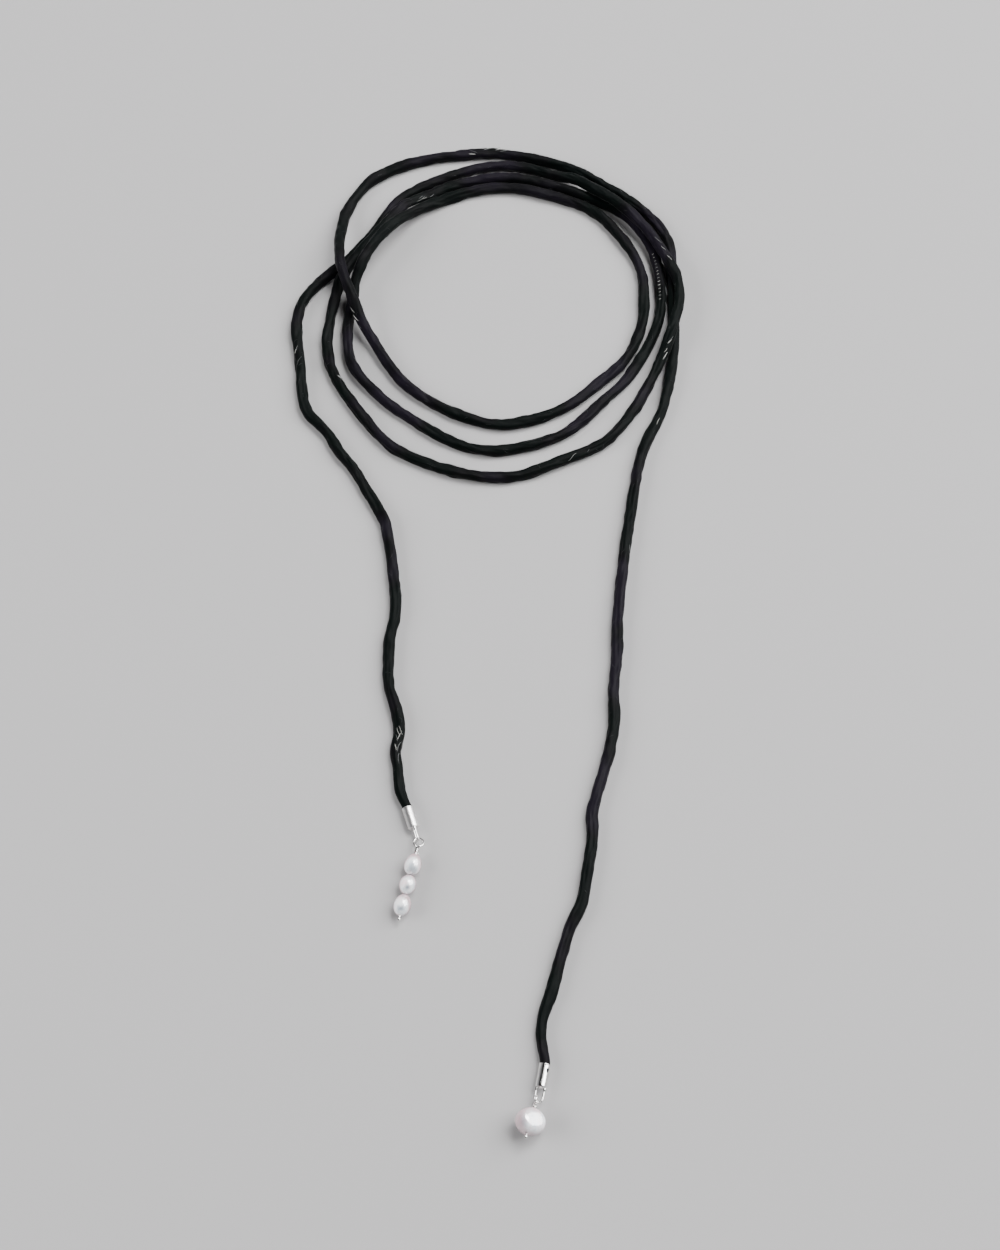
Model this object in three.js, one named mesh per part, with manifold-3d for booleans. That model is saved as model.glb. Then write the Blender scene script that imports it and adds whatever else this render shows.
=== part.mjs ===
// Cord choker laid out on a flat surface: one long silk cord in three loose turns with two free
// tails, a silver cap on each end, and pearls on ball-head pins hooked into the caps.
// Millimetres, +Z up. The origin is on the surface, under the middle of the whole outline.
import * as THREE from 'three';
import { mergeVertices } from 'three/addons/utils/BufferGeometryUtils.js';
import Module from 'manifold-3d';

const wasm = await Module();
wasm.setup();

// Driving dimensions
const CORD_RADIUS = 1.5;
const CORD_SIDES = 8;
const CORD_STEP = 5;
const GAP = 0.3;                // between pieces that touch on the real thing
const WIRE = 0.42;              // silver wire of the pins and of the caps' eyes
const WIRE_SIDES = 8;
const ROUND_SIDES = 20;         // facets round a cap or a pearl

const CAP = { length: 6.1, radius: 1.35, bore: 1.15, depth: 4, dome: 0.7, height: 1.6 };
const EYE = { radius: 0.95, leg: 2 };
const PIN = { loopRadius: 1.2, headRadius: 0.5, sides: 12 };

// The cord's ends are squeezed to this radius where the caps hold them.
const NECK = { radius: 0.8, length: 5.2 };

// A flat of the section faces down, so a resting stretch has its middle line this high.
const REST = CORD_RADIUS * Math.cos(Math.PI / CORD_SIDES);
const DRILL = WIRE / 2 + GAP;   // radius of a pearl's hole

const SILK = { color: 0x16171a, roughness: 0.62, metalness: 0 };
const SILVER = { color: 0xd6d4cf, roughness: 0.2, metalness: 1 };
const PEARL = { color: 0xe9e4e0, roughness: 0.25, metalness: 0 };

// Middle line of the cord from the three pearls' cap to the single pearl's cap: x, y and, where
// it lies on another stretch, its height. Without a height it lies on the surface.
const ROUTE = {
  // left tail, from inside its cap up to where the turns are gathered
  cord_trio_tail: [
    [-18.15, -62.7, 1.6], [-19.2, -59.5, 1.6], [-21, -55], [-21.8, -48.5], [-22.3, -44.5],
    [-21.5, -38.5], [-22.7, -32.5], [-24.3, -27.5], [-24.5, -14.5], [-23.2, -6], [-24, 4.5],
    [-25.5, 14], [-27, 20.5], [-31.5, 29], [-35.5, 36], [-38.5, 40], [-43, 47], [-47.5, 52],
    [-49, 55.5], [-50.5, 68], [-52, 81], [-50.5, 88], [-46, 94.5], [-39.5, 100.5],
    [-34.5, 106.5],
  ],
  // outermost turn, over the others on the right
  cord_outer_turn: [
    [-30, 113.5], [-24.7, 121.7], [-15, 128], [-2, 133], [7.5, 133.5], [17.5, 130.7],
    [24.5, 127.9, 3.2], [31, 123, 4.7], [38, 117.5, 4.8], [44.5, 109.5, 4.7], [49, 101.5, 4.7],
    [52.3, 93.5, 4.7], [52.3, 85.5, 4.6], [49.8, 76, 4.7], [47, 68.5, 2.6], [40.5, 55.5],
    [36, 48.7], [31, 43.3], [19.5, 37.8], [9, 33.5], [-0.5, 33], [-14.5, 36.5], [-25.5, 42.5],
    [-36, 55.5], [-41.5, 65], [-43.5, 74.5], [-42, 87.5], [-40.5, 93.5, 2.4],
  ],
  // middle turn
  cord_middle_turn: [
    [-38.5, 97, 4.2], [-35.2, 102, 4.7], [-31.5, 107, 4.7], [-27.8, 112.5, 4.3],
    [-23, 119.1, 3.2], [-16.5, 123.3], [-8.5, 127], [4, 129.5], [17.5, 127], [28.5, 122.7],
    [37, 118], [42.5, 112], [46.5, 102.5], [47.8, 93.5], [47.8, 87], [46.5, 80.5],
    [42.8, 71.5], [36.5, 61.5], [31, 56], [25.5, 50], [19.5, 45.5], [9, 41.8], [-0.5, 41],
    [-9, 43.5], [-18, 49], [-29.5, 58.5], [-36.5, 68], [-38, 78], [-37, 88, 2],
  ],
  // innermost turn, on top of the gathered turns on the left
  cord_inner_turn: [
    [-36.2, 93, 4.4], [-34.5, 97.5, 6.7], [-32, 102.3, 7.6], [-28.8, 107.3, 7.4],
    [-25.2, 111.7, 6.2], [-20, 117.3, 3], [-13, 121.5], [-1.5, 125.5], [8.5, 125.8],
    [17.5, 123.5], [24.5, 120.9], [31.5, 116.5], [39.5, 105.5], [42.5, 98], [43, 86],
    [41.1, 76.5], [37, 68.5], [30.5, 62], [20, 53.5], [9, 49.5], [2, 49], [-9, 52.5],
    [-22, 61.5], [-30.5, 74, 2.4], [-34.5, 81, 4.6], [-37.5, 88.5, 7],
  ],
  // last half turn, across the gathered turns and round the top
  cord_top_turn: [
    [-40, 95.5, 8], [-40.8, 103.5, 6.2], [-40.5, 111.5, 3.4], [-39.2, 118, 2], [-34.2, 127],
    [-27.5, 132], [-18.5, 135.5], [-8.5, 137.2], [1.5, 138], [11, 136.5], [24, 132.5],
    [33.5, 126.3], [44, 117.8], [48.5, 112], [50.7, 106], [51, 97.5], [51.1, 90.5],
    [51, 83.5], [51, 77.5],
  ],
  // right tail, down into the single pearl's cap
  cord_drop_tail: [
    [50.1, 68], [46.5, 52], [43.5, 46], [41, 40], [38, 24.5], [35.5, 8.5], [33.5, -8.5],
    [33, -20], [32, -28.5], [32, -36.5], [30.5, -45], [28.8, -51.2], [26, -61], [26, -67],
    [24.5, -76.5], [23, -83.5], [20, -90.5], [16, -104], [13.2, -113], [13.3, -117.5],
    [13.95, -122.5, 1.6], [13.3, -125.8, 1.6],
  ],
};

// Over how long a run the cord swells from each neck to its full thickness.
const SWELL = {
  cord_trio_tail: { atStart: true, run: 16 },
  cord_drop_tail: { atStart: false, run: 5 },
};

// Both ends: the cap's mouth, the pin's loop, and the way that each points along the surface
// (degrees from -Y towards +X). The pin rises by `rise` degrees from its loop to its head. The
// turns are how far the eye is from upright, and the pin's loop from level, about their own axes.
const ENDS = [
  {
    name: 'trio', mouth: [-19.2, -59.5], capAngle: 18, eyeTurn: -10,
    loop: [-16.24, -68.63, 2.1], pinAngle: -12.9, rise: 0, loopTilt: 15, loopTurn: 0, wraps: 3,
    pearls: [
      { name: 'pearl_trio_upper', at: 5.67, radius: 2.1, length: 5.3 },
      { name: 'pearl_trio_middle', at: 11, radius: 2.1, length: 4.75 },
      { name: 'pearl_trio_lower', at: 16.3, radius: 2.1, length: 5.2 },
    ],
  },
  {
    name: 'drop', mouth: [13.95, -122.5], capAngle: -11.5, eyeTurn: 90,
    loop: [11.88, -130.99, 1.95], pinAngle: -16, rise: 17.5, loopTilt: 0, loopTurn: 90, wraps: 1,
    pearls: [{ name: 'pearl_drop', at: 5.6, radius: 3.65, length: 6.4 }],
  },
];

const degrees = THREE.MathUtils.degToRad;

// manifold-3d joins solids that are one soldered piece of metal.
function solid(geometry) {
  geometry.deleteAttribute('normal');
  geometry.deleteAttribute('uv');
  const merged = mergeVertices(geometry);
  return new wasm.Manifold(new wasm.Mesh({
    numProp: 3,
    vertProperties: merged.getAttribute('position').array,
    triVerts: Uint32Array.from(merged.index.array),
  }));
}

function solder(body, part) {
  const joined = solid(body).add(solid(part)).getMesh();
  const geometry = new THREE.BufferGeometry();
  geometry.setAttribute('position', new THREE.BufferAttribute(joined.vertProperties, 3));
  geometry.setIndex(new THREE.BufferAttribute(joined.triVerts, 1));
  return geometry;
}

function named(name, geometry, look) {
  const mesh = new THREE.Mesh(geometry, new THREE.MeshStandardMaterial(look));
  mesh.name = name;
  return mesh;
}

// The points of an arc in a lathe profile, as radius and place along the axis.
function arc(radius, along, width, depth, fromAngle, toAngle, steps) {
  return Array.from({ length: steps + 1 }, (_, step) => {
    const angle = degrees(THREE.MathUtils.lerp(fromAngle, toAngle, step / steps));
    return new THREE.Vector2(radius + width * Math.cos(angle), along + depth * Math.sin(angle));
  });
}

// Cord: one smooth line through every point, cut into the named stretches.
const routePoints = Object.values(ROUTE).flat().map(([x, y, z]) => new THREE.Vector3(x, y, z ?? REST));
const routeLine = new THREE.CatmullRomCurve3(routePoints);

class Stretch extends THREE.Curve {
  constructor(first, last, swell) {
    super();
    this.first = first;
    this.last = last;
    this.swell = swell;
  }

  getPoint(t, target = new THREE.Vector3()) {
    const place = THREE.MathUtils.lerp(this.first, this.last, t);
    routeLine.getPoint(place / (routePoints.length - 1), target);
    target.z = Math.max(target.z, REST);
    return target;
  }

  // Share of the full thickness, with u from 0 to 1 along the stretch.
  thickness(u) {
    if (!this.swell) return 1;
    const fromEnd = (this.swell.atStart ? u : 1 - u) * this.getLength();
    const swollen = THREE.MathUtils.smoothstep(fromEnd, NECK.length, NECK.length + this.swell.run);
    return THREE.MathUtils.lerp(NECK.radius / CORD_RADIUS, 1, swollen);
  }

  // Keeps a flat of the section facing down, and scales the section by the thickness.
  computeFrenetFrames(segments) {
    const up = new THREE.Vector3(0, 0, 1);
    const shares = Array.from({ length: segments + 1 }, (_, step) => step / segments);
    const tangents = shares.map((u) => this.getTangentAt(u));
    const normals = tangents.map((tangent, step) => (
      up.clone().cross(tangent).setLength(this.thickness(shares[step]))
    ));
    const binormals = tangents.map((tangent, step) => tangent.clone().cross(normals[step]));
    return { tangents, normals, binormals };
  }
}

// An even polygon with a flat at its bottom.
function polygon(radius, sides) {
  return new THREE.Shape(Array.from({ length: sides }, (_, side) => {
    const angle = ((side + 0.5) * 2 * Math.PI) / sides;
    return new THREE.Vector2(Math.cos(angle), Math.sin(angle)).multiplyScalar(radius);
  }));
}

// One tube for each stretch. All but the last stop just short of the next one.
function cordStretches() {
  const section = polygon(CORD_RADIUS, CORD_SIDES);
  const end = routePoints.length - 1;
  let first = 0;
  return Object.entries(ROUTE).map(([name, points]) => {
    const next = Math.min(first + points.length, end);
    const gap = next < end ? GAP : 0;
    const last = next - gap / routePoints[next].distanceTo(routePoints[next - 1]);
    const extrudePath = new Stretch(first, last, SWELL[name]);
    const steps = Math.round(extrudePath.getLength() / CORD_STEP);
    first += points.length;
    return named(name, new THREE.ExtrudeGeometry(section, { steps, extrudePath }), SILK);
  });
}

// End cap: a plain tube with a domed end, open where the cord goes in, and a U of wire soldered
// to the dome as its eye. The mouth is at the origin and the cap runs along +Y.
function endCap() {
  const shoulder = CAP.length - CAP.dome;
  const tube = new THREE.LatheGeometry([
    new THREE.Vector2(0, CAP.depth),
    new THREE.Vector2(CAP.bore, CAP.depth),
    new THREE.Vector2(CAP.bore, 0),
    new THREE.Vector2(CAP.radius, 0),
    ...arc(0, shoulder, CAP.radius, CAP.dome, 0, 75, 4),
    new THREE.Vector2(0, CAP.length),
  ], ROUND_SIDES);
  const bend = [
    new THREE.Vector2(EYE.radius, shoulder),
    ...arc(0, CAP.length + EYE.leg, EYE.radius, EYE.radius, 0, 180, 6),
    new THREE.Vector2(-EYE.radius, shoulder),
  ];
  const extrudePath = new THREE.CatmullRomCurve3(bend.map(({ x, y }) => new THREE.Vector3(0, y, x)));
  const wire = new THREE.ExtrudeGeometry(polygon(WIRE / 2, WIRE_SIDES), { steps: 20, extrudePath });
  return solder(tube, wire);
}

// Ball-head pin: its loop is round the origin, its shaft runs along +Y through the pearls, and
// the wire's end is wrapped round the shaft below the loop.
function ballPin({ pearls, wraps, loopTilt }) {
  const last = pearls.at(-1);
  const head = last.at + last.length / 2 + GAP + PIN.headRadius;
  const headStart = THREE.MathUtils.radToDeg(Math.asin(WIRE / 2 / PIN.headRadius)) - 90;
  const turns = Array.from({ length: wraps }, (_, turn) => {
    const middle = PIN.loopRadius + (turn + 1) * WIRE;
    return arc(WIRE, middle, WIRE / 2, WIRE / 2, -75, 75, 3);
  }).flat();
  const shaft = new THREE.LatheGeometry([
    new THREE.Vector2(0, PIN.loopRadius),
    new THREE.Vector2(WIRE / 2, PIN.loopRadius),
    ...turns,
    new THREE.Vector2(WIRE / 2, turns.at(-1).y + WIRE / 4),
    ...arc(0, head, PIN.headRadius, PIN.headRadius, headStart, 75, 6),
    new THREE.Vector2(0, head + PIN.headRadius),
  ], PIN.sides);
  const loop = new THREE.TorusGeometry(PIN.loopRadius, WIRE / 2, WIRE_SIDES, ROUND_SIDES);
  loop.rotateX(degrees(loopTilt));
  return solder(shaft, loop);
}

// Pearl: an oval with a drilled hole along +Y.
function pearl({ radius, length }) {
  const edge = THREE.MathUtils.radToDeg(Math.acos(DRILL / radius));
  const outside = arc(0, 0, radius, length / 2, -edge, edge, 12);
  return new THREE.LatheGeometry([...outside, outside[0].clone()], ROUND_SIDES);
}

// Holds what is made along +Y: `angle` degrees from -Y towards +X, rising by `rise` degrees.
function lay(angle, rise, x, y, z) {
  const holder = new THREE.Group();
  holder.rotation.set(degrees(rise), 0, degrees(180 + angle), 'ZXY');
  holder.position.set(x, y, z);
  return holder;
}

function chokerEnd(end) {
  const cap = lay(end.capAngle, 0, ...end.mouth, CAP.height);
  const body = named(`end_cap_${end.name}`, endCap(), SILVER);
  body.rotation.y = degrees(end.eyeTurn);
  cap.add(body);
  const pin = lay(end.pinAngle, end.rise, ...end.loop);
  const wire = named(`pin_${end.name}`, ballPin(end), SILVER);
  wire.rotation.y = degrees(end.loopTurn);
  pin.add(wire);
  for (const bead of end.pearls) {
    const mesh = named(bead.name, pearl(bead), PEARL);
    mesh.position.y = bead.at;
    pin.add(mesh);
  }
  return [cap, pin];
}

const choker = new THREE.Group();
choker.add(...cordStretches(), ...ENDS.flatMap(chokerEnd));
export default choker;
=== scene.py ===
"""Cord choker, laid out flat: one long black silk cord in three and a half loose turns, with a
silver cap and freshwater pearls on each of its two ends."""
import math

import bpy
import numpy as np
from mathutils import Matrix, Vector


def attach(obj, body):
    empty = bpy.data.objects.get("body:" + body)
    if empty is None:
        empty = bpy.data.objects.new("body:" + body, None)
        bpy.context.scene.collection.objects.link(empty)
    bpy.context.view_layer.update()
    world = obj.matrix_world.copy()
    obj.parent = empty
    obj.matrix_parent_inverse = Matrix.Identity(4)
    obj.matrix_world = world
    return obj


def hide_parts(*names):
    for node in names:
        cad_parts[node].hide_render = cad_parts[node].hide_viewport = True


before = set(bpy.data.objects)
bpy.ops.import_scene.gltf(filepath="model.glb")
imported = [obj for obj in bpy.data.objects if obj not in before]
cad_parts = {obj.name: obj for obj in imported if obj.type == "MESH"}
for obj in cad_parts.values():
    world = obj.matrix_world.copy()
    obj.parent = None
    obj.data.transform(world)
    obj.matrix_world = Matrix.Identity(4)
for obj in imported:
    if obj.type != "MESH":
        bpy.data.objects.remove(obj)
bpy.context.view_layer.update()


# Silk cord
# A long strip of black silk is rolled round a loose core and its edge is stitched down by hand, so
# the cord is uneven: plump in some places, wrung thin in others, and flat where it rests.

MM = 0.001
FRAME_REST = 1.386 * MM     # height of the frame's middle line wherever the cord lies flat
ROUTE = [
    # left tail, from inside its cap up to where the turns are gathered
    (-0.01815, -0.0627, 0.0016), (-0.0192, -0.0595, 0.0016), (-0.021, -0.055), (-0.0218, -0.0485),
    (-0.0223, -0.0445), (-0.0215, -0.0385), (-0.0227, -0.0325), (-0.0243, -0.0275),
    (-0.0245, -0.0145), (-0.0232, -0.006), (-0.024, 0.0045), (-0.0255, 0.014), (-0.027, 0.0205),
    (-0.0315, 0.029), (-0.0355, 0.036), (-0.0385, 0.04), (-0.043, 0.047), (-0.0475, 0.052),
    (-0.049, 0.0555), (-0.0505, 0.068), (-0.052, 0.081), (-0.0505, 0.088), (-0.046, 0.0945),
    (-0.0395, 0.1005), (-0.0345, 0.1065),
    # outermost turn, over the others on the right
    (-0.03, 0.1135), (-0.0247, 0.1217), (-0.015, 0.128), (-0.002, 0.133), (0.0075, 0.1335),
    (0.0175, 0.1307), (0.0245, 0.1279, 0.0032), (0.031, 0.123, 0.0047), (0.038, 0.1175, 0.0048),
    (0.0445, 0.1095, 0.0047), (0.049, 0.1015, 0.0047), (0.0523, 0.0935, 0.0047),
    (0.0523, 0.0855, 0.0046), (0.0498, 0.076, 0.0047), (0.047, 0.0685, 0.0026), (0.0405, 0.0555),
    (0.036, 0.0487), (0.031, 0.0433), (0.0195, 0.0378), (0.009, 0.0335), (-0.0005, 0.033),
    (-0.0145, 0.0365), (-0.0255, 0.0425), (-0.036, 0.0555), (-0.0415, 0.065), (-0.0435, 0.0745),
    (-0.042, 0.0875), (-0.0405, 0.0935, 0.0024),
    # middle turn
    (-0.0385, 0.097, 0.0042), (-0.0352, 0.102, 0.0047), (-0.0315, 0.107, 0.0047),
    (-0.0278, 0.1125, 0.0043), (-0.023, 0.1191, 0.0032), (-0.0165, 0.1233), (-0.0085, 0.127),
    (0.004, 0.1295), (0.0175, 0.127), (0.0285, 0.1227), (0.037, 0.118), (0.0425, 0.112),
    (0.0465, 0.1025), (0.0478, 0.0935), (0.0478, 0.087), (0.0465, 0.0805), (0.0428, 0.0715),
    (0.0365, 0.0615), (0.031, 0.056), (0.0255, 0.05), (0.0195, 0.0455), (0.009, 0.0418),
    (-0.0005, 0.041), (-0.009, 0.0435), (-0.018, 0.049), (-0.0295, 0.0585), (-0.0365, 0.068),
    (-0.038, 0.078), (-0.037, 0.088, 0.002),
    # innermost turn, on top of the gathered turns on the left
    (-0.0362, 0.093, 0.0044), (-0.0345, 0.0975, 0.0067), (-0.032, 0.1023, 0.0076),
    (-0.0288, 0.1073, 0.0074), (-0.0252, 0.1117, 0.0062), (-0.02, 0.1173, 0.003), (-0.013, 0.1215),
    (-0.0015, 0.1255), (0.0085, 0.1258), (0.0175, 0.1235), (0.0245, 0.1209), (0.0315, 0.1165),
    (0.0395, 0.1055), (0.0425, 0.098), (0.043, 0.086), (0.0411, 0.0765), (0.037, 0.0685),
    (0.0305, 0.062), (0.02, 0.0535), (0.009, 0.0495), (0.002, 0.049), (-0.009, 0.0525),
    (-0.022, 0.0615), (-0.0305, 0.074, 0.0024), (-0.0345, 0.081, 0.0046), (-0.0375, 0.0885, 0.007),
    # last half turn, across the gathered turns and round the top
    (-0.04, 0.0955, 0.008), (-0.0408, 0.1035, 0.0062), (-0.0405, 0.1115, 0.0034),
    (-0.0392, 0.118, 0.002), (-0.0342, 0.127), (-0.0275, 0.132), (-0.0185, 0.1355),
    (-0.0085, 0.1372), (0.0015, 0.138), (0.011, 0.1365), (0.024, 0.1325), (0.0335, 0.1263),
    (0.044, 0.1178), (0.0485, 0.112), (0.0507, 0.106), (0.051, 0.0975), (0.0511, 0.0905),
    (0.051, 0.0835), (0.051, 0.0775),
    # right tail, down into the single pearl's cap
    (0.0501, 0.068), (0.0465, 0.052), (0.0435, 0.046), (0.041, 0.04), (0.038, 0.0245),
    (0.0355, 0.0085), (0.0335, -0.0085), (0.033, -0.02), (0.032, -0.0285), (0.032, -0.0365),
    (0.0305, -0.045), (0.0288, -0.0512), (0.026, -0.061), (0.026, -0.067), (0.0245, -0.0765),
    (0.023, -0.0835), (0.02, -0.0905), (0.016, -0.104), (0.0132, -0.113), (0.0133, -0.1175),
    (0.01395, -0.1225, 0.0016), (0.0133, -0.1258, 0.0016),
]
CAP_DEPTH = 3.4             # mm of cord that is glued inside each cap

# The roll is 3 mm or a little less, fuller and slacker by turns, and drawn in at both caps' mouths.
ORDINARY_WIDTH = 2.95
DRAWN_IN = 0.7              # mm narrower at a mouth, less and less over about DRAWN_IN_REACH mm
DRAWN_IN_REACH = 6

# Where the stitched edge of the strip runs, as places in mm and degrees from the cord's left side
# over its top.
LAP = [
    (0, 60), (40, 95), (84, 150), (110, 40), (160, 20), (205, 60), (250, 120), (300, 160),
    (340, 70), (420, 30), (480, 20), (540, 35), (585, 105), (610, 115), (660, 165), (720, 190),
    (800, 150), (855, 120), (900, 135), (950, 90), (1010, 30), (1055, 25), (1120, 120),
    (1170, 60), (1225, 40), (1265, 50), (1300, 130), (1364, 80),
]

# Deep furrows: from and to a place in mm, from and to an angle in degrees, depth and breadth in mm.
FURROWS = [
    (20, 44, 60, 118, 0.19, 0.64), (50, 74, 120, 62, 0.22, 0.56), (78, 97, 40, 140, 0.34, 0.8),
    (88, 108, 95, 175, 0.28, 0.64), (110, 132, 60, 110, 0.19, 0.56), (136, 158, 130, 60, 0.22, 0.64),
    (168, 196, 70, 120, 0.15, 0.56), (214, 240, 120, 78, 0.19, 0.48), (246, 262, 60, 110, 0.19, 0.56),
    (286, 318, 50, 90, 0.19, 0.64), (316, 334, 120, 70, 0.22, 0.64), (352, 380, 60, 105, 0.15, 0.48),
    (386, 412, 110, 60, 0.19, 0.56), (436, 468, 70, 115, 0.15, 0.56), (500, 528, 120, 80, 0.19, 0.64),
    (548, 582, 70, 100, 0.15, 0.48), (586, 610, 110, 100, 0.19, 0.4), (622, 650, 60, 105, 0.19, 0.48),
    (664, 696, 105, 70, 0.19, 0.56), (720, 750, 60, 100, 0.19, 0.64), (788, 820, 130, 90, 0.19, 0.64),
    (846, 876, 70, 110, 0.19, 0.56), (882, 904, 120, 70, 0.22, 0.64), (916, 936, 60, 120, 0.19, 0.56),
    (944, 950, 30, 150, 0.22, 0.64), (962, 988, 100, 60, 0.19, 0.64), (996, 1020, 80, 120, 0.19, 0.56),
    (1030, 1048, 110, 60, 0.19, 0.56), (1062, 1088, 70, 105, 0.19, 0.64), (1106, 1136, 120, 80, 0.19, 0.64),
    (1172, 1196, 60, 120, 0.22, 0.64), (1204, 1224, 115, 70, 0.19, 0.48), (1232, 1262, 110, 80, 0.22, 0.48),
    (1268, 1290, 60, 110, 0.22, 0.64), (1292, 1312, 120, 60, 0.25, 0.64), (1318, 1340, 70, 110, 0.19, 0.56),
]
RING_STEP = 0.72 * MM
SIDES = 44
FLATTENED = 0.97            # height of the cord as a share of its width
MOST_SECTION = 8.6          # mm2: a wide place is flatter, so that width times height is at most this
CROWN_SHARE = 0.54          # how much of the height is above the middle line
BELLY_SHARE = 0.46
SETTLED = 0.86              # of the frame's lift where one turn lies on another
WINDING = 46                # mm of cord for each turn of the roll round it
SKIN_ROUND = 9.2            # mm of strip round the cord
WAVES = 26                  # in each set of random folds


def smooth_line(points, parts=24):
    """A line through every point that neither loops nor overshoots, in `parts` steps from one to
    the next."""
    points = np.array(points, float)
    led = np.vstack([2 * points[0] - points[1], points, 2 * points[-1] - points[-2]])
    gaps = np.sqrt(np.linalg.norm(np.diff(led, axis=0), axis=1))[:, None]
    before, here, there, after = led[:-3], led[1:-2], led[2:-1], led[3:]
    before_gap, gap, after_gap = gaps[:-2], gaps[1:-1], gaps[2:]
    leave = (here - before) / before_gap - (there - before) / (before_gap + gap)
    leave = (leave + (there - here) / gap) * gap
    arrive = (there - here) / gap - (after - here) / (gap + after_gap)
    arrive = (arrive + (after - there) / after_gap) * gap
    share = (np.arange(parts) / parts)[None, :, None]
    here, there, leave, arrive = (part[:, None, :] for part in (here, there, leave, arrive))
    line = (
        here
        + share * leave
        + share ** 2 * (3 * there - 3 * here - 2 * leave - arrive)
        + share ** 3 * (2 * here - 2 * there + leave + arrive)
    )
    return np.vstack([line.reshape(-1, 3), points[-1:]])


def lengths_along(line):
    """How far along a line each of its points is."""
    return np.concatenate([[0], np.cumsum(np.linalg.norm(np.diff(line, axis=0), axis=1))])


def evenly(line, step):
    """The same line with its points about `step` apart."""
    places = lengths_along(line)
    wanted = np.linspace(0, places[-1], round(places[-1] / step) + 1)
    return np.column_stack([np.interp(wanted, places, line[:, axis]) for axis in range(3)])


def eased(values, reach):
    """A row of values with its corners rounded off over about `reach` values either way."""
    weights = np.exp(-0.5 * (np.arange(-3 * reach, 3 * reach + 1) / reach) ** 2)
    padded = np.pad(values, 3 * reach, mode="edge")
    return np.convolve(padded, weights / weights.sum(), mode="valid")


def step_up(values, start, end):
    """0 up to start, 1 from end on, and a smooth rise between them."""
    share = np.clip((values - start) / (end - start), 0, 1)
    return share * share * (3 - 2 * share)


def ripples(places, angles, length, lobes, seed):
    """Random soft folds over the cord, about `length` mm long and up to `lobes` round it."""
    dice = np.random.default_rng(seed)
    height = np.zeros(np.broadcast(places, angles).shape)
    for _ in range(WAVES):
        rate = dice.choice([-1, 1]) * 2 * np.pi / (length * dice.uniform(0.6, 1.9))
        height += np.sin(places * rate + angles * dice.integers(0, lobes + 1) + dice.uniform(0, 7))
    return height / math.sqrt(2 * WAVES)


def unit(vectors):
    return vectors / np.linalg.norm(vectors, axis=-1, keepdims=True)


route = [point if len(point) == 3 else (*point, FRAME_REST) for point in ROUTE]
middle = evenly(smooth_line(route), RING_STEP)
middle[:, 2] = np.maximum(middle[:, 2], FRAME_REST)
places = lengths_along(middle) / MM - CAP_DEPTH      # mm from the first cap's mouth
cord_end = places[-1] - CAP_DEPTH                    # the last cap's mouth
from_cap = np.minimum(places, cord_end - places)     # below 0 inside a cap

# The width, and the heights above and below the middle line.
uneven = 0.08 * ripples(places, 0, 16, 0, seed=3) + 0.04 * ripples(places, 0, 6, 0, seed=5)
drawn_in = DRAWN_IN * np.exp(-np.maximum(from_cap, 0) / DRAWN_IN_REACH)
width = eased(ORDINARY_WIDTH * (1 + uneven) - drawn_in, 3)
loose = step_up(from_cap, 0, 6)
height = eased(np.minimum(width * FLATTENED, MOST_SECTION / width), 4)
half_width = width / 2
crown = height * CROWN_SHARE
belly = height * BELLY_SHARE

# The turns settle on each other a little closer than the frame's do. In a cap the cord is centred.
settled = (middle[:, 2] - FRAME_REST) * SETTLED + belly * MM
middle[:, 2] = middle[:, 2] * (1 - loose) + settled * loose
heading = unit(np.gradient(middle, axis=0))
left = unit(np.cross([0, 0, 1], heading))
over = np.cross(heading, left)

angles = (np.arange(SIDES) / SIDES * 2 - 0.5) * np.pi
column = places[:, None]
spun = angles - column * (2 * np.pi / WINDING)       # the roll winds slowly round the cord
folds = 0.26 * (np.abs(ripples(column, spun, 24, 2, seed=11)) - 0.4)
folds += 0.17 * (np.abs(ripples(column, spun, 9, 4, seed=12)) - 0.4)
folds += 0.05 * ripples(column, angles, 3.4, 6, seed=13)

# The lap stands up along its stitched edge and runs out to nothing behind it.
lap_angle = np.radians(eased(np.interp(places, *zip(*LAP)), 30))
lap_angle += 0.12 * ripples(places, 0, 12, 0, seed=14)
behind = (angles - lap_angle[:, None]) % (2 * np.pi)
lap = 0.2 * np.exp(-behind / 0.9) * (1 - np.exp(-behind / 0.05))
pinches = 0.5 + 0.5 * np.sin(column * 2 * np.pi / 2.6 + ripples(column, 0, 9, 0, seed=15) * 3)
lap -= 0.09 * pinches ** 3 * np.exp(-(((behind - 0.25) / 0.3) ** 2))

# Single furrows, where the roll was wrung or the silk folded over itself.
for from_place, to_place, from_angle, to_angle, depth, breadth in FURROWS:
    share = np.clip((places - from_place) / (to_place - from_place), 0, 1)[:, None]
    aside = angles - np.radians(from_angle + (to_angle - from_angle) * share)
    aside = (aside + np.pi) % (2 * np.pi) - np.pi
    ends = np.minimum(places - from_place, to_place - places)[:, None]
    folds -= depth * np.exp(-((aside * 1.5 / breadth) ** 2)) * step_up(ends, -3, 5)

# Silk bunches into small creases on the inside of a bend.
turning = np.cross(heading, np.roll(heading, -1, axis=0))[:, 2] / (RING_STEP / MM)
turning = eased(turning, 4)
inside = np.maximum(0, np.sign(turning)[:, None] * np.cos(angles)) ** 1.5
bunched = step_up(np.abs(turning), 0.02, 0.11)[:, None] * inside
creases = 0.11 * bunched * ripples(column, angles, 2.1, 2, seed=16)

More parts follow.
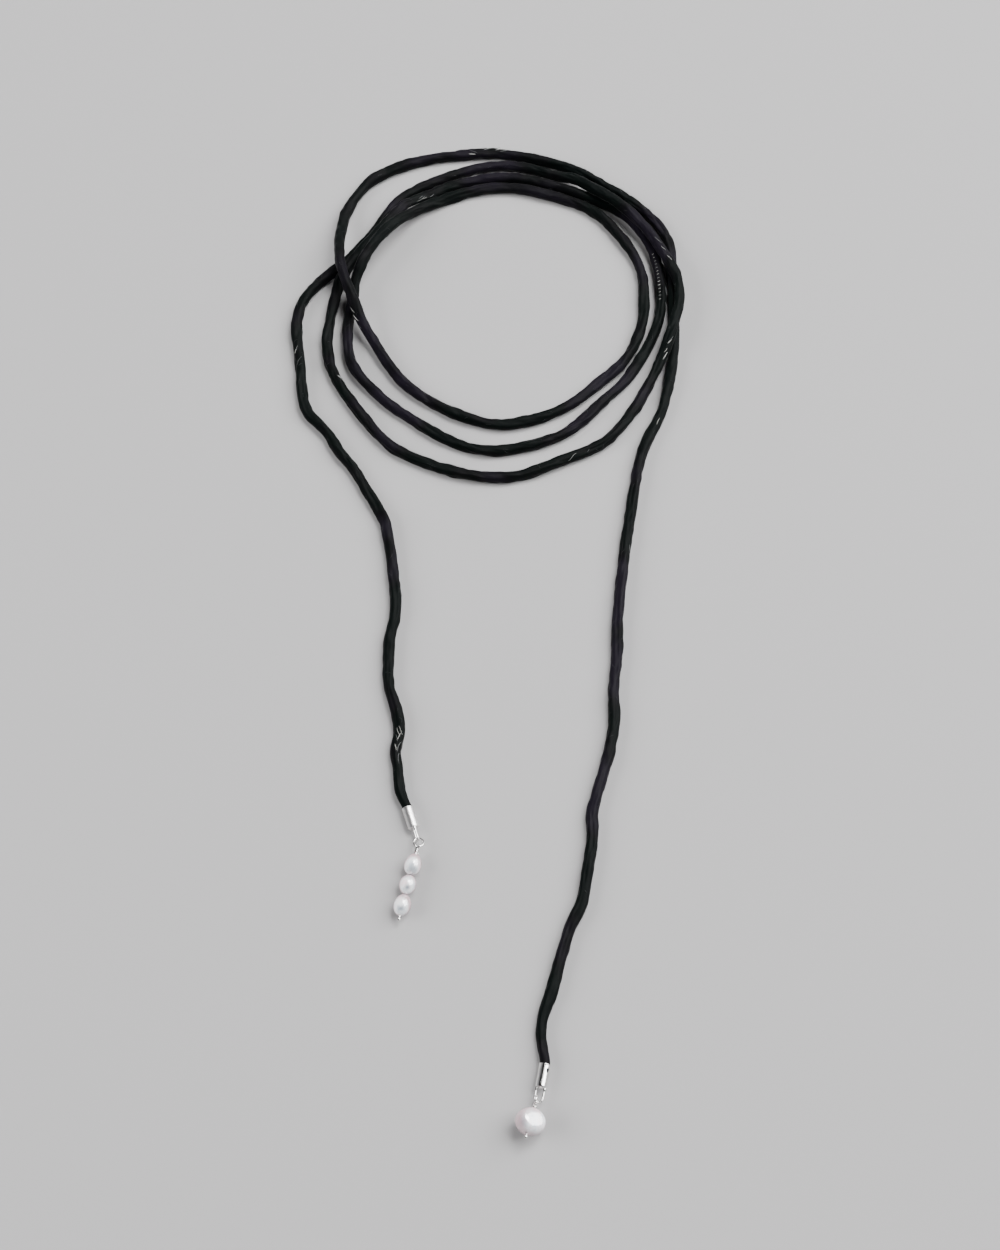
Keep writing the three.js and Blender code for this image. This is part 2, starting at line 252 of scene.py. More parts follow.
surface_out = (folds + lap + creases) * step_up(from_cap, 0.5, 5)[:, None]
round_x = np.sign(np.cos(angles)) * np.abs(np.cos(angles)) ** 0.92
round_y = np.sin(angles)
out_x = np.cos(angles)[None, :] / half_width[:, None]
out_y = np.sin(angles)[None, :] / crown[:, None]
out_length = np.hypot(out_x, out_y)
across = half_width[:, None] * round_x + surface_out * out_x / out_length
across *= (width / eased(np.ptp(across, axis=1), 3))[:, None]
rise = crown[:, None] * round_y + surface_out * out_y / out_length
floor_level = -belly[:, None] * (1 + 0 * angles)
rise = floor_level + np.logaddexp(0, (rise - floor_level) * 9) / 9
skin = (
    middle[:, None, :]
    + left[:, None, :] * across[..., None] * MM
    + over[:, None, :] * rise[..., None] * MM
)
skin[..., 2] = np.maximum(skin[..., 2], 0.01 * MM)


def made(name, points, faces):
    """A smooth-shaded mesh object from its points and faces, in place."""
    mesh = bpy.data.meshes.new(name)
    mesh.from_pydata([tuple(point) for point in points], [], faces)
    mesh.update()
    mesh.polygons.foreach_set("use_smooth", [True] * len(mesh.polygons))
    piece = bpy.data.objects.new(name, mesh)
    bpy.context.scene.collection.objects.link(piece)
    return piece


def tube_faces(rings, sides, first=0):
    """Faces of a tube whose points go ring by ring, closed at both ends."""
    ring = np.arange(rings - 1)[:, None] * sides
    side = np.arange(sides)[None, :]
    beside = (side + 1) % sides
    corners = [ring + side, ring + beside, ring + sides + beside, ring + sides + side]
    faces = (np.stack(corners, axis=-1).reshape(-1, 4) + first).tolist()
    last = first + (rings - 1) * sides
    return faces + [list(range(first + sides - 1, first - 1, -1)), list(range(last, last + sides))]


cord = made("silk_cord", skin.reshape(-1, 3), tube_faces(len(middle), SIDES))

# The strip's own coordinates, in mm round the cord and along it, which the weave follows.
strip = cord.data.uv_layers.new(name="strip")
corner_side = np.tile([0, 1, 1, 0], (len(middle) - 1) * SIDES).reshape(len(middle) - 1, SIDES, 4)
corner_side = (corner_side + np.arange(SIDES)[None, :, None]) * (SKIN_ROUND / SIDES)
corner_place = np.tile([0, 0, 1, 1], (len(middle) - 1) * SIDES).reshape(len(middle) - 1, SIDES, 4)
corner_place = (corner_place + np.arange(len(middle) - 1)[:, None, None]) * (RING_STEP / MM)
laid = np.stack([corner_side, corner_place], axis=-1).reshape(-1, 2)
laid = np.vstack([laid, np.zeros((2 * SIDES, 2))])
strip.data.foreach_set("uv", laid.astype(np.float32).ravel())


class Amount:
    """What one socket of a shader node gives, which sums and products can be made of."""

    def __init__(self, look, socket):
        self.look = look
        self.socket = socket

    def combined(self, operation, first, second):
        return self.look.node("ShaderNodeMath", {"operation": operation}, {0: first, 1: second})

    def __add__(self, other):
        return self.combined("ADD", self, other)

    def __radd__(self, other):
        return self.combined("ADD", other, self)

    def __sub__(self, other):
        return self.combined("SUBTRACT", self, other)

    def __rsub__(self, other):
        return self.combined("SUBTRACT", other, self)

    def __mul__(self, other):
        return self.combined("MULTIPLY", self, other)

    def __rmul__(self, other):
        return self.combined("MULTIPLY", other, self)


class Look:
    """A finish, put together from shader nodes."""

    def __init__(self, name):
        self.material = bpy.data.materials.new(name)
        self.material.use_nodes = True
        self.tree = self.material.node_tree
        self.tree.nodes.clear()

    def node(self, kind, settings, inputs, output=0):
        """Adds a node: its settings, then the values or links of its sockets. Gives an output."""
        node = self.tree.nodes.new(kind)
        for setting, value in settings.items():
            if setting == "stops":
                ramp = node.color_ramp
                while len(ramp.elements) < len(value):
                    ramp.elements.new(1)
                for element, (position, colour) in zip(ramp.elements, value):
                    element.position = position
                    element.color = colour
            else:
                setattr(node, setting, value)
        for socket, value in inputs.items():
            if isinstance(value, Amount):
                self.tree.links.new(value.socket, node.inputs[socket])
            else:
                node.inputs[socket].default_value = value
        return Amount(self, node.outputs[output]) if node.outputs else None

    def noise(self, vector, scale, detail=2.0, output=0):
        return self.node(
            "ShaderNodeTexNoise", {}, {"Vector": vector, "Scale": scale, "Detail": detail}, output
        )

    def finish(self, **sockets):
        """The surface itself, from the values or links of the shader's sockets."""
        inputs = {name.replace("_", " "): value for name, value in sockets.items()}
        surface = self.node("ShaderNodeBsdfPrincipled", {}, inputs)
        self.node("ShaderNodeOutputMaterial", {}, {"Surface": surface})
        return self.material


def silk_look():
    """Dull black silk: a fine weave on the slant, slubs along it, and a faint play of colour, partly
    painted sheen.
    """
    look = Look("black_silk")
    strip_place = look.node("ShaderNodeUVMap", {"uv_map": "strip"}, {})
    long_grain = look.node(
        "ShaderNodeVectorMath", {"operation": "MULTIPLY"}, {0: strip_place, 1: (1.4, 0.16, 1)}
    )
    spot = look.node("ShaderNodeTexCoord", {}, {}, "Object")
    slubs = look.noise(long_grain, 1.6, 3.0)
    fibres = look.noise(long_grain, 9.0, 2.0)
    drape = look.noise(spot, 160.0, 2.0)
    hue = look.noise(spot, 48.0, 2.0)
    around = look.node("ShaderNodeSeparateXYZ", {}, {0: strip_place}, "X")
    along = look.node("ShaderNodeSeparateXYZ", {}, {0: strip_place}, "Y")
    turn = 2 * math.pi / 0.34
    warp = look.node("ShaderNodeMath", {"operation": "SINE"}, {0: (around + along) * turn})
    weft = look.node("ShaderNodeMath", {"operation": "SINE"}, {0: (around - along) * turn})
    weave = warp * weft
    # Random tone: the green and blue-black stops are the silk's own, the lighter purple-grey stop is
    # painted sheen.
    tint_and_sheen = look.node(
        "ShaderNodeValToRGB",
        {
            "stops": [
                (0.36, (0.0004, 0.0014, 0.0012, 1)),
                (0.46, (0.0005, 0.0016, 0.0012, 1)),
                (0.53, (0.0013, 0.0013, 0.0016, 1)),
                (0.62, (0.0052, 0.0040, 0.0070, 1)),
            ]
        },
        {"Fac": hue},
    )
    worn = look.node(
        "ShaderNodeMix",
        {"data_type": "RGBA"},
        {0: slubs * 0.3, 6: tint_and_sheen, 7: (0.0030, 0.0032, 0.0036, 1)},
        2,
    )
    relief = weave * 0.12 + fibres * 0.4 + slubs * 0.5 + drape * 0.8
    bump = look.node(
        "ShaderNodeBump", {}, {"Strength": 0.5, "Distance": 0.12 * MM, "Height": relief}
    )
    return look.finish(
        Base_Color=worn,
        Roughness=0.62 - 0.26 * hue + 0.14 * slubs,
        Normal=bump,
        Specular_IOR_Level=0.055,
        Sheen_Weight=0.03,
        Sheen_Roughness=0.4,
    )


cord.data.materials.append(silk_look())
CORD_NODES = [
    "cord_trio_tail", "cord_outer_turn", "cord_middle_turn", "cord_inner_turn",
    "cord_top_turn", "cord_drop_tail",
]
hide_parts(*CORD_NODES)
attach(cord, "root")


# Frayed threads
# Here and there a stitch or a strand of the strip has worked loose. Each is a hair-fine pale
# thread that lies on the cord or stands a little off it, held by the silk round it.

# Each frayed spot falls anywhere along the cord, on the side that faces up, and has up to four
# threads lying much the same way. One row of fine stitches shows along the lap, drawn pale as a
# painted glint on dark stitching, and there are loose dark hairs besides.
FRAYED_SPOTS = 20
STITCHES = np.arange(586, 601, 1.15)      # mm from the first cap's mouth
HAIRS = 150
THREAD_SIDES = 5
THREAD_RINGS = 9


def on_skin(place, angle, out):
    """The point `out` mm outside the cord's skin at each place and angle."""
    ring = np.clip((place + CAP_DEPTH) * MM / RING_STEP, 1, len(middle) - 2.001)
    side = (angle / np.pi + 0.5) * SIDES / 2
    first_ring, first_side = np.floor(ring).astype(int), np.floor(side).astype(int)
    along, round_it = (ring - first_ring)[:, None], (side - first_side)[:, None]
    near, beside = first_side % SIDES, (first_side + 1) % SIDES
    here = skin[first_ring, near] * (1 - round_it) + skin[first_ring, beside] * round_it
    there = skin[first_ring + 1, near] * (1 - round_it) + skin[first_ring + 1, beside] * round_it
    point = here * (1 - along) + there * along
    return point + unit(point - middle[first_ring]) * np.asarray(out)[:, None] * MM


def swept(line, radii, sides):
    """Points of a round tube along a line, ring by ring, without any twist."""
    headings = unit(np.gradient(line, axis=0))
    start = min(np.eye(3), key=lambda axis: abs(headings[0] @ axis))
    across_now = unit(np.cross(headings[0], start))
    steps = np.arange(sides)[:, None] * 2 * np.pi / sides
    rings = []
    for point, heading_now, radius in zip(line, headings, radii):
        across_now = unit(across_now - heading_now * (across_now @ heading_now))
        upward = np.cross(heading_now, across_now)
        rings.append(point + radius * (np.cos(steps) * across_now + np.sin(steps) * upward))
    return np.concatenate(rings)


dice = np.random.default_rng(21)
strands = []
for _ in range(FRAYED_SPOTS):
    spot, facing, slant = dice.uniform(8, cord_end - 8), dice.uniform(30, 150), dice.uniform(-35, 35)
    for _ in range(int(dice.integers(1, 5))):
        strands.append((
            spot + dice.uniform(-4, 4), facing + dice.uniform(-18, 18), dice.uniform(1.0, 3.2),
            slant + dice.uniform(-10, 10), 0.1, dice.uniform(0.09, 0.14),
        ))
# Painted glint: these stitches are drawn pale, standing in for glints on dark stitching.
strands += [(place, 112, 0.7, 62, 0.02, 0.13) for place in STITCHES]
for _ in range(HAIRS):
    strands.append((
        dice.uniform(8, cord_end - 8), dice.uniform(10, 170), dice.uniform(0.7, 2.0),
        dice.normal(0, 35), dice.uniform(0.1, 0.5), dice.uniform(0.04, 0.06),
    ))

# A thread's thickness also sets its shade: the thick ones are pale and the hairs are dark. The
# row of stitches is pale as a painted glint.
thread_points, thread_faces, thread_shades = [], [], []
for order, (place, angle, length, slant, stand, thickness) in enumerate(strands):
    share = np.linspace(-0.5, 0.5, THREAD_RINGS)
    sway = dice.uniform(-0.35, 0.35) * (share ** 2 - 0.08) + dice.uniform(-0.5, 0.5) * share ** 3
    run = share * length
    spread = math.radians(slant)
    lie_along = place + run * math.cos(spread) - sway * length * math.sin(spread)
    lie_round = math.radians(angle) + (run * math.sin(spread) + sway * length) / 1.5
    off = 0.01 + stand * np.cos(share * np.pi)
    line = on_skin(lie_along, lie_round, off)
    thin = thickness / 2 * MM * (1 - 0.6 * (2 * np.abs(share)) ** 3)
    faces = tube_faces(THREAD_RINGS, THREAD_SIDES, first=THREAD_RINGS * THREAD_SIDES * order)
    thread_faces += faces
    thread_points.append(swept(line, thin, THREAD_SIDES))
    bright = min(1, max(0, (thickness - 0.08) / 0.05))
    thread_shades += [bright * dice.uniform(0.35, 1)] * len(faces)
threads = made("frayed_threads", np.concatenate(thread_points), thread_faces)
shade = threads.data.attributes.new(name="shade", type="FLOAT", domain="FACE")
shade.data.foreach_set("value", np.array(thread_shades, np.float32))


def thread_look():
    """Raw silk: grey and a little yellow where the dye has worn off, dark grey elsewhere. On the
    stitches the pale grey is a painted glint.
    """
    look = Look("frayed_silk")
    own_shade = look.node("ShaderNodeAttribute", {"attribute_name": "shade"}, {}, "Fac")
    spot = look.node("ShaderNodeTexCoord", {}, {}, "Object")
    mottle = look.noise(spot, 2600.0, 2.0)
    tone = look.node(
        "ShaderNodeValToRGB",
        {
            "stops": [
                (0.0, (0.014, 0.015, 0.017, 1)), (0.35, (0.10, 0.104, 0.104, 1)),
                (0.7, (0.23, 0.232, 0.215, 1)), (1.0, (0.46, 0.465, 0.45, 1)),
            ]
        },
        {"Fac": own_shade * (0.55 + 0.8 * mottle)},
    )
    return look.finish(
        Base_Color=tone,
        Roughness=0.55 + 0.2 * mottle,
        Specular_IOR_Level=0.3,
        Sheen_Weight=0.1,
    )


threads.data.materials.append(thread_look())
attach(threads, "root")


# End caps
# A plain silver tube with a rolled rim and a rounded end, glued over each end of the cord. A U
# of wire is soldered into that end as its eye, and the pin hangs from it.

# The middle of each cap's mouth, the way it points, in degrees from -Y towards +X, and how far
# its eye is turned from upright.
CAP_TRIO = ((-0.0192, -0.0595, 0.0016), 18, -10)
CAP_DROP = ((0.01395, -0.1225, 0.0016), -11.5, 90)
CAP_WALL = 1.35
CAP_BORE = 1.15
CAP_SHOULDER = 5.2
CAP_DOME = 0.7
EYE_RADIUS = 0.95
EYE_MIDDLE = 8.1
WIRE = 0.42
EYE_WIRE = 0.5
ROUND = 64


def arc(radius, along, width, depth, from_angle, to_angle, steps):
    """Points of an arc of a profile, as radius and place along the axis."""
    turned = np.radians(np.linspace(from_angle, to_angle, steps))
    return list(zip(radius + width * np.cos(turned), along + depth * np.sin(turned)))


def turned_body(profile, sides=ROUND):
    """Points and faces of a closed profile turned round +Y, in mm."""
    turn_angles = np.arange(sides) * 2 * np.pi / sides
    points = [
        (radius * math.cos(angle), along, radius * math.sin(angle))
        for radius, along in profile for angle in turn_angles
    ]
    return np.array(points), tube_faces(len(profile), sides)


def joined(parts):
    """Several parts' points and faces as one."""
    points, faces, first = [], [], 0
    for part_points, part_faces in parts:
        points.append(part_points)
        faces += [[corner + first for corner in face] for face in part_faces]
        first += len(part_points)
    return np.concatenate(points), faces


def laid_down(name, parts, place, angle, rise=0):
    """A piece made in mm along +Y, moved to its place: it points `angle` degrees from -Y towards
    +X and climbs by `rise` degrees. Its own shape stays in the coordinates named "made"."""
    points, faces = joined(parts)
    turned = (
        Matrix.Translation(place)
        @ Matrix.Rotation(math.radians(180 + angle), 4, "Z")
        @ Matrix.Rotation(math.radians(rise), 4, "X")
        @ Matrix.Scale(MM, 4)
    )
    piece = made(name, points, faces)
    own = piece.data.attributes.new(name="made", type="FLOAT_VECTOR", domain="POINT")
    own.data.foreach_set("vector", points.astype(np.float32).ravel())
    piece.data.transform(turned)
    return piece


def end_cap(name, place, angle, eye_turn):
    profile = [(0.02, 4.0), (CAP_BORE - 0.1, 4.0), (CAP_BORE, 3.9), (CAP_BORE, 0.2)]
    profile += arc(CAP_WALL - 0.07, 0.17, 0.13, 0.17, 180, 420, 14)
    profile += [(CAP_WALL, 0.42), (CAP_WALL, 0.5), (CAP_WALL, 2.5), (CAP_WALL, 5.0)]
    profile += arc(0, CAP_SHOULDER, CAP_WALL, CAP_DOME, 0, 88, 14)
    bend = [(EYE_RADIUS, along) for along in (5.5, 6.2, 7.0, 7.6)]
    bend += arc(0, EYE_MIDDLE, EYE_RADIUS, EYE_RADIUS, 0, 180, 13)
    bend += [(-EYE_RADIUS, along) for along in (7.6, 7.0, 6.2, 5.5)]
    turned = math.radians(eye_turn)
    bend = [(aside * math.sin(turned), along, aside * math.cos(turned)) for aside, along in bend]
    line = evenly(smooth_line(bend), 0.12)
    from_dome = np.minimum(lengths_along(line), lengths_along(line[::-1])[::-1])
    solder = 0.16 * (1 - step_up(from_dome, 0.3, 0.9))
    eye = (swept(line, EYE_WIRE / 2 + solder, 20), tube_faces(len(line), 20))
    return laid_down(name, [turned_body(profile), eye], place, angle)


def silver_look(name, scratch_turn, tarnish, satin):
    """Polished silver: fine scratches one way, soft rubbing marks, and grey tarnish in patches."""
    look = Look(name)
    own = look.node("ShaderNodeAttribute", {"attribute_name": "made"}, {}, "Vector")
    grain = look.node("ShaderNodeVectorMath", {"operation": "MULTIPLY"}, {0: own, 1: scratch_turn})
    scratches = look.noise(grain, 5.0, 3.0)
    rubbed = look.noise(own, 0.9, 3.0)
    pits = look.noise(own, 7.0, 2.0)
    patches = look.node(
        "ShaderNodeMapRange", {}, {"Value": rubbed, "From Min": 0.42, "From Max": 0.68}
    )
    tone = look.node(
        "ShaderNodeMix",
        {"data_type": "RGBA"},
        {0: patches * tarnish, 6: (0.90, 0.89, 0.875, 1), 7: (0.42, 0.41, 0.40, 1)},
        2,
    )
    relief = scratches * 0.7 + pits * 0.35 + rubbed * 0.8
    bump = look.node(
        "ShaderNodeBump", {}, {"Strength": 0.35, "Distance": 0.03 * MM, "Height": relief}
    )
    return look.finish(
        Base_Color=tone,
        Metallic=1.0,
        Roughness=satin + 0.1 * rubbed + 0.06 * scratches,
        Normal=bump,
    )


cap_trio = end_cap("cap_trio", *CAP_TRIO)
cap_drop = end_cap("cap_drop", *CAP_DROP)
cap_trio.data.materials.append(silver_look("silver_rubbed", (0.5, 6, 0.5), 0.3, 0.3))
cap_drop.data.materials.append(silver_look("silver_drawn", (5, 0.4, 5), 0.35, 0.09))
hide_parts("end_cap_trio")
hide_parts("end_cap_drop")
for cap in (cap_trio, cap_drop):
    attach(cap, "root")


# Ball-head pins
# Each is one length of round silver wire: melted to a ball at the far end, threaded through the
# pearls, bent to a loop through the cap's eye, and its end wound round the shaft.

# The middle of each pin's loop, the way the shaft points, how far it climbs, the loop's tilt, and
# how far the loop is turned from level about the shaft.
PIN_TRIO = ((-0.01624, -0.06863, 0.0021), -12.9, 0, 15, 0)
PIN_DROP = ((0.01188, -0.13099, 0.00195), -16, 17.5, 0, 90)
LOOP_RADIUS = 1.2
WRAP_RISE = 0.43
HEAD_RADIUS = 0.5


def ball_pin(name, pin, head_at, wraps):
    place, angle, climb, tilt, turn = pin
    line = [(0, head_at, 0)]
    line += [(0, along, 0) for along in np.arange(head_at - 0.8, 2.2, -0.8)]
    line += [(0.02, 1.95, 0.0), (0.16, 1.5, 0.02)]
    tilted = math.radians(tilt)
    for bend_angle in range(24, 337, 24):
        aside = LOOP_RADIUS * math.sin(math.radians(bend_angle))
        along = LOOP_RADIUS * math.cos(math.radians(bend_angle))
        lift = 0.3 * (bend_angle / 336) ** 3
        line.append((aside, along * math.cos(tilted), along * math.sin(tilted) + lift))
    for wrap_angle in range(-10, 360 * wraps - 40, 30):
        wound = math.radians(wrap_angle)
        rise_now = 1.5 + WRAP_RISE * wrap_angle / 360
        line.append((WIRE * math.sin(wound), rise_now, WIRE * math.cos(wound)))
    line = smooth_line(line, 5)
    turned = math.radians(turn)
    aside, upward = line[:, 0].copy(), line[:, 2].copy()
    line[:, 0] = aside * math.cos(turned) + upward * math.sin(turned)
    line[:, 2] = upward * math.cos(turned) - aside * math.sin(turned)
    radii = np.full(len(line), WIRE / 2)
    radii[-4:] *= [0.98, 0.9, 0.72, 0.4]
    wire = (swept(line, radii, 14), tube_faces(len(line), 14))
    head = turned_body(arc(0, head_at, HEAD_RADIUS, HEAD_RADIUS, -88, 88, 24), 36)
    return laid_down(name, [wire, head], place, angle, climb)


pin_trio = ball_pin("ball_pin_trio", PIN_TRIO, 19.7, 3)
pin_drop = ball_pin("ball_pin_drop", PIN_DROP, 9.6, 2)
wire_silver = silver_look("silver_wire", (1.5, 1.5, 1.5), 0.5, 0.12)
for pin, node in ((pin_trio, "pin_trio"), (pin_drop, "pin_drop")):
    pin.data.materials.append(wire_silver)
    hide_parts(node)
    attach(pin, "root")


# Pearls
# Four freshwater pearls, drilled lengthwise and threaded on the pins: three small slightly
# uneven ones in a row, and one larger button-shaped one alone. Nacre is glossy and a little rosy,
# and each pearl carries a painted grey reflection and a painted rosy rim of reflection and shade.

DRILL_RADIUS = 0.3
# Painted reflection: a grey patch on each pearl, standing in for a dark room seen in the nacre.
DARK_REFLECTION_GREY = (0.11, 0.14, 0.18, 1)
# Painted reflection and shade: a darker rose laid on each pearl's rim.
ROSE_RIM_SHADE = (0.36, 0.235, 0.255, 1)


def pearl(name, pin, at, radius, length, narrow, cloud, facet, seed):
    """One pearl round the pin's shaft. `narrow` slims its near end and fills out its far end. A
    painted grey reflection darkens the nacre round the first direction of the patch it is given,
    a painted rosy rim of reflection and shade rises away from the second, and `facet` is a side
    that it grew flatter on."""
    place, angle, climb = pin[:3]
    edge = math.degrees(math.acos(DRILL_RADIUS / radius))
    outline = arc(0, 0, radius, length / 2, -edge, edge, 44)
    outline = [(out * (1 + narrow * along / length), along) for out, along in outline]
    hole = [(DRILL_RADIUS, share * length / 2) for share in (0.9, 0.5, 0, -0.5, -0.9)]
    points, faces = turned_body(outline + hole, ROUND)
    lengthwise = points[:, 1] / length * 4
    turn_place = np.arctan2(points[:, 2], points[:, 0])
    swelling = 0.016 * ripples(lengthwise, turn_place, 5.0, 2, seed)
    swelling += 0.005 * ripples(lengthwise, turn_place, 1.6, 4, seed + 1)
    outside = np.hypot(points[:, 0], points[:, 2]) > DRILL_RADIUS * 1.02
    points *= (1 + swelling * outside)[:, None]
    if facet:
        flat_way, flat_from, kept = facet
        beyond = points @ unit(np.array(flat_way)) - flat_from * radius
        beyond = np.logaddexp(0, beyond * 5) / 5 * (1 - kept) * outside
        points -= beyond[:, None] * unit(np.array(flat_way))
    reflection_way, reflection_size, reflection_depth, unshaded_way = cloud
    # Painted reflection: the nacre greyed round one direction, as a dark room reflected there.
    aside = np.linalg.norm(points - unit(np.array(reflection_way)) * radius, axis=1)
    reflection_darkened = reflection_depth * np.exp(-((aside / reflection_size) ** 2))
    # Painted reflection and shade: a darker rose rim rising away from one direction.
    facing = points @ unit(np.array(unshaded_way)) / radius
    rose_rim_shading = 0.85 * (1 - step_up(facing, 0.25, 0.8))
    count = len(outline) + len(hole)
    faces = faces[:-2]      # no end discs: the drilled hole joins up with the outside instead
    last = (count - 1) * ROUND
    faces += [
        [last + side, last + (side + 1) % ROUND, (side + 1) % ROUND, side]
        for side in range(ROUND)
    ]
    points[:, 1] += at
    bead = laid_down(name, [(points, faces)], place, angle, climb)
    for shade_name, amounts in (("cloud", reflection_darkened), ("blush", rose_rim_shading)):
        shades = bead.data.attributes.new(name=shade_name, type="FLOAT", domain="POINT")
        shades.data.foreach_set("value", amounts.astype(np.float32))
    return bead


def nacre_look(name, light, rosy, cool):
    """Nacre: layered and glossy, rosy at some turns and bluish grey at others, under a painted grey
    reflection and a painted rosy rim of reflection and shade.
    """
    look = Look(name)
    own = look.node("ShaderNodeAttribute", {"attribute_name": "made"}, {}, "Vector")
    broad = look.noise(own, 0.42, 2.0)
    lengthwise = look.node(
        "ShaderNodeVectorMath", {"operation": "MULTIPLY"}, {0: own, 1: (1, 0.35, 1)}
    )
    bands = look.noise(lengthwise, 1.2, 2.0)
    layers = look.noise(own, 3.2, 4.0)
    tone = look.node(
        "ShaderNodeValToRGB",
        {"stops": [(0.36, cool), (0.5, light), (0.62, rosy)]},
        {"Fac": 0.55 * broad + 0.35 * bands + 0.1 * layers},
    )
    # Painted grey reflection, from the amounts stored on the pearl's points.
    cloud = look.node("ShaderNodeAttribute", {"attribute_name": "cloud"}, {}, "Fac")
    reflection_darkened = look.node(
        "ShaderNodeMix", {"data_type": "RGBA"}, {0: cloud, 6: tone, 7: DARK_REFLECTION_GREY}, 2
    )
    # Painted rosy rim of reflection and shade, from the amounts stored on the pearl's points.
    blush = look.node("ShaderNodeAttribute", {"attribute_name": "blush"}, {}, "Fac")
    rose_rim_shaded = look.node(
        "ShaderNodeMix", {"data_type": "RGBA"}, {0: blush, 6: reflection_darkened, 7: ROSE_RIM_SHADE}, 2
    )
    bump = look.node(
        "ShaderNodeBump",
        {},
        {"Strength": 0.7, "Distance": 0.16 * MM, "Height": broad + bands * 1.4 + layers * 0.2},
    )
    return look.finish(
        Base_Color=rose_rim_shaded,
        Roughness=0.2 + 0.12 * layers,
        IOR=1.66,
        Normal=bump,
        Coat_Weight=0.8 + 0.2 * layers,
        Coat_Roughness=0.09,
        Coat_IOR=2.3,
    )


pearl_upper = pearl(
    "pearl_upper", PIN_TRIO, 5.67, 2.1, 5.56, 0.2,
    cloud=((-0.15, 0.75, 0.6), 1.25, 0.75, (-0.1, 0.4, 0.9)), facet=None, seed=31,
)
pearl_middle = pearl(
    "pearl_middle", PIN_TRIO, 10.95, 2.06, 4.98, -0.05,
    cloud=((-0.13, 0.55, 0.83), 0.65, 0.9, (-0.1, 0.3, 0.93)), facet=None, seed=35,
)
pearl_lower = pearl(
    "pearl_lower", PIN_TRIO, 16.15, 2.1, 5.42, 0.06,
    cloud=((-0.02, 0.63, 0.77), 0.7, 0.85, (0.15, 0.4, 0.9)), facet=None, seed=39,
)
pearl_drop = pearl(
    "pearl_single", PIN_DROP, 5.6, 3.56, 6.3, 0.0,
    cloud=((0.5, 0.5, 0.7), 1.5, 0.8, (-0.5, 0.25, 0.84)),
    facet=((-0.27, 0.02, 0.95), 0.72, 0.2), seed=43,
)
small_nacre = nacre_look(
    "nacre_small", (0.86, 0.885, 0.90, 1), (0.80, 0.68, 0.71, 1), (0.50, 0.56, 0.62, 1)
)
large_nacre = nacre_look(
    "nacre_large", (0.84, 0.87, 0.90, 1), (0.78, 0.68, 0.70, 1), (0.52, 0.58, 0.65, 1)
)
for bead, node, nacre in (
    (pearl_upper, "pearl_trio_upper", small_nacre),
    (pearl_middle, "pearl_trio_middle", small_nacre),
    (pearl_lower, "pearl_trio_lower", small_nacre),
    (pearl_drop, "pearl_drop", large_nacre),
):
    bead.data.materials.append(nacre)
    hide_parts(node)
    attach(bead, "root")


# Surface, light and camera
# A plain pale table top under a wide softbox at the right and a weaker one behind it overhead,
# with a screened fill at the left that puts no glint on the silver or the pearls, in a grey room
# with a dark ceiling and a dark screen hung high to the left.

def softbox(name, place, size, power, glints=True):
    """A rectangular light that faces the choker. Without glints it never shows as a reflection."""
    lamp = bpy.data.lights.new(name, "AREA")
    lamp.shape = "RECTANGLE"
    lamp.size, lamp.size_y = size
    lamp.energy = power
    holder = bpy.data.objects.new(name, lamp)
    holder.location = place
    holder.rotation_euler = (-Vector(place)).to_track_quat("-Z", "Y").to_euler()
    holder.visible_glossy = glints
    bpy.context.scene.collection.objects.link(holder)


TABLE_SIZE = 12.0
TABLE_TOP = -0.02 * MM
table = made(
    "table_top",
    [
        (-TABLE_SIZE, -TABLE_SIZE, TABLE_TOP), (TABLE_SIZE, -TABLE_SIZE, TABLE_TOP),
        (TABLE_SIZE, TABLE_SIZE, TABLE_TOP), (-TABLE_SIZE, TABLE_SIZE, TABLE_TOP),
    ],
    [[0, 1, 2, 3]],
)
pale = Look("pale_table")
pale_spot = pale.node("ShaderNodeTexCoord", {}, {}, "Object")
table.data.materials.append(
    pale.finish(
        Base_Color=(0.29, 0.286, 0.288, 1),
        Roughness=0.75 + 0.1 * pale.noise(pale_spot, 30.0),
        Specular_IOR_Level=0.2,
    )
)

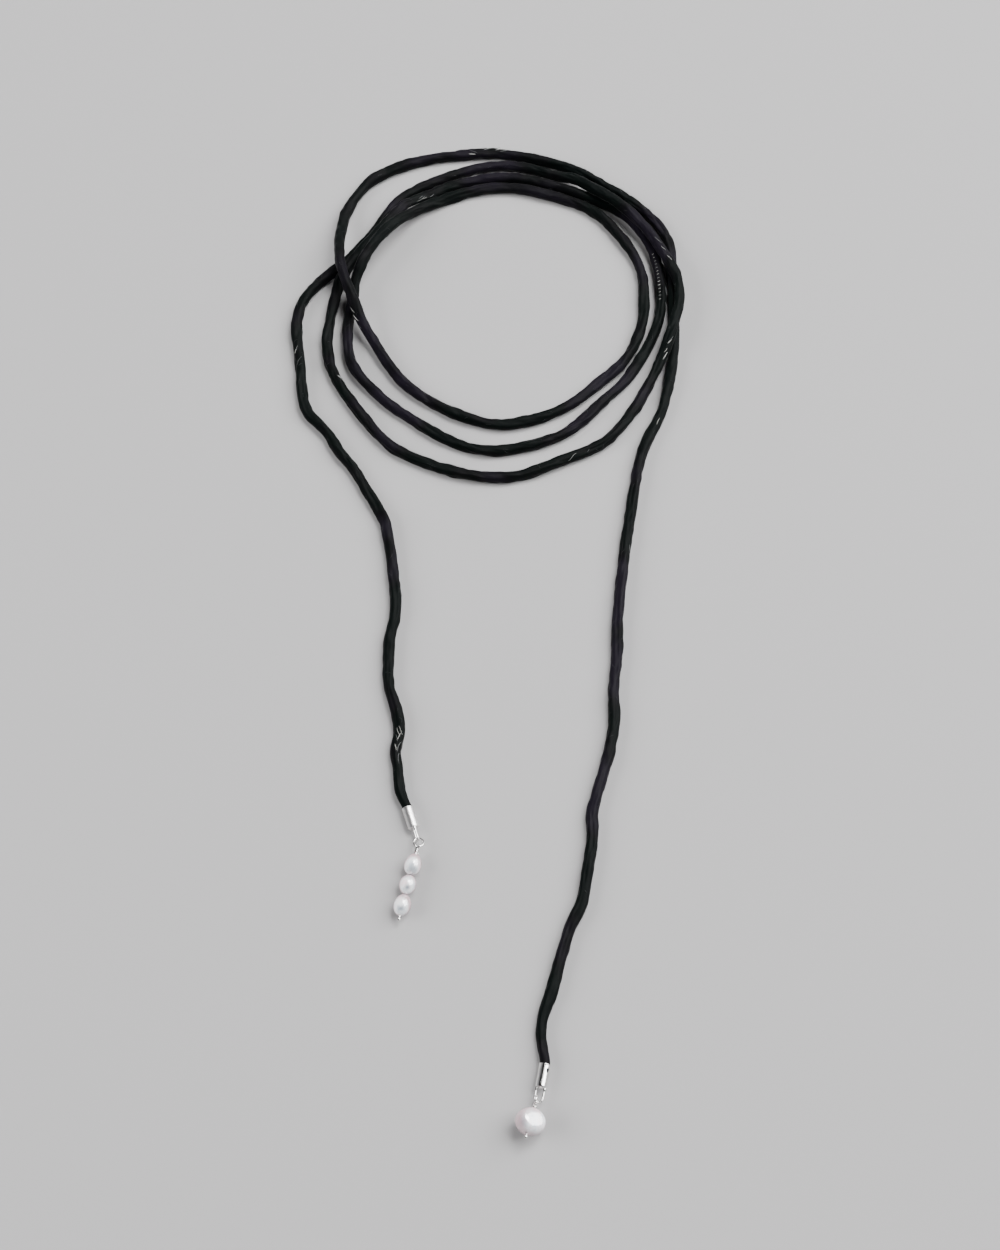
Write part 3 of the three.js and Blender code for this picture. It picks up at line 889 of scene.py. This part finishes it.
softbox("key_light", (1.0, 0.32, 1.02), (1.3, 1.3), 58)
softbox("top_light", (0.45, 0.7, 1.5), (0.7, 0.7), 30)
softbox("fill_light", (-1.3, -0.1, 0.75), (1.2, 0.9), 40, glints=False)


class Room(Look):
    """The light of the room itself, put together from the same nodes as a finish."""

    def __init__(self, name):
        self.world = bpy.data.worlds.new(name)
        self.world.use_nodes = True
        self.tree = self.world.node_tree
        self.tree.nodes.clear()


room = Room("grey_room")
way = room.node("ShaderNodeTexCoord", {}, {}, "Generated")
upwards = room.node("ShaderNodeSeparateXYZ", {}, {0: way}, "Z")
sideways = room.node("ShaderNodeSeparateXYZ", {}, {0: way}, "X")
walls = room.node(
    "ShaderNodeValToRGB",
    {
        "stops": [
            (0.0, (0.5, 0.5, 0.52, 1)), (0.45, (0.62, 0.62, 0.65, 1)),
            (0.78, (0.40, 0.40, 0.42, 1)), (0.93, (0.03, 0.03, 0.035, 1)),
        ]
    },
    {"Fac": upwards},
)
flag = room.node(
    "ShaderNodeValToRGB",
    {
        "stops": [
            (0.1, (0.8, 0.8, 0.8, 1)), (0.2, (0.05, 0.05, 0.05, 1)),
            (0.42, (0.05, 0.05, 0.05, 1)), (0.52, (1, 1, 1, 1)),
        ]
    },
    {"Fac": 0.5 + 0.5 * sideways},
)
flagged = room.node(
    "ShaderNodeMix",
    {"data_type": "RGBA", "blend_type": "MULTIPLY"},
    {0: 4 * (upwards - 0.2), 6: walls, 7: flag},
    2,
)
glow = room.node("ShaderNodeBackground", {}, {"Color": flagged, "Strength": 0.68})
room.node("ShaderNodeOutputWorld", {}, {"Surface": glow})
bpy.context.scene.world = room.world

lens = bpy.data.cameras.new("camera")
lens.sensor_fit = "HORIZONTAL"
lens.sensor_width = 24
lens.lens = 50
lens.clip_start = 0.01
camera = bpy.data.objects.new("camera", lens)
camera.location = (0.0035, -0.2343, 0.4822)
camera.rotation_euler = (math.radians(25), 0, 0)
bpy.context.scene.collection.objects.link(camera)
bpy.context.scene.camera = camera
